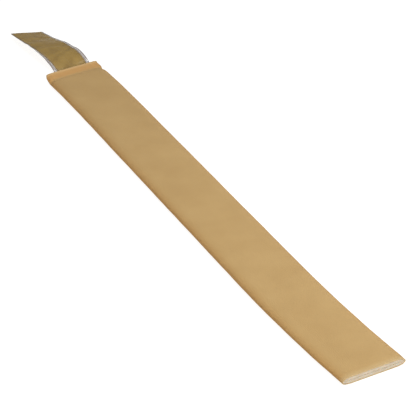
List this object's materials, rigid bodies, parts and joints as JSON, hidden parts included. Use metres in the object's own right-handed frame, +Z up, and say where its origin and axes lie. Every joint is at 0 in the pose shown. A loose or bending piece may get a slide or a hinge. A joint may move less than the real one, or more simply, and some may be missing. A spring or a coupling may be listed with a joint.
{
  "type": "gel-lined tubular sleeve",
  "caption": "Flat knitted tubular sleeve with a soft gel lining, a flared mouth, and a film-wrapped card strip that pulls out of its channel.",
  "frame": {"origin": "on the flat underside, at the middle of the sleeve's length and width", "axes": "+X along the sleeve from the flared mouth and its strip to the cut end, +Y across the sleeve, +Z up from the surface that it lies on"},
  "size_m": [0.3672, 0.0383, 0.0076],
  "materials": {
    "knit": "fine tan stretch knit, matt",
    "gel": "soft cream gel, slightly translucent, satin",
    "card": "brown kraft card, matt, faintly creased",
    "film": "clear glossy polythene film"
  },
  "bodies": {
    "sleeve": {"knit_cover": "knit", "gel_lining": "gel"},
    "insert": {"insert_card": "card", "insert_film_upper": "film", "insert_film_lower": "film"},
    "tab": {"tab_card": "card", "tab_film_upper": "film", "tab_film_lower": "film"}
  },
  "joints": [
    {"name": "insert_slide", "type": "slide", "parent": "sleeve", "child": "insert", "axis": [-1, 0, 0], "range_m": [0, 0.235]},
    {"name": "tab_flex", "type": "hinge", "parent": "insert", "child": "tab", "pos_m": [-0.1629, -0.00039, 0.00334], "axis": [-0.0442, 0.9753, 0.2164], "range_deg": [0, 60], "stiffness_Nm_per_rad": 0.004}
  ]
}
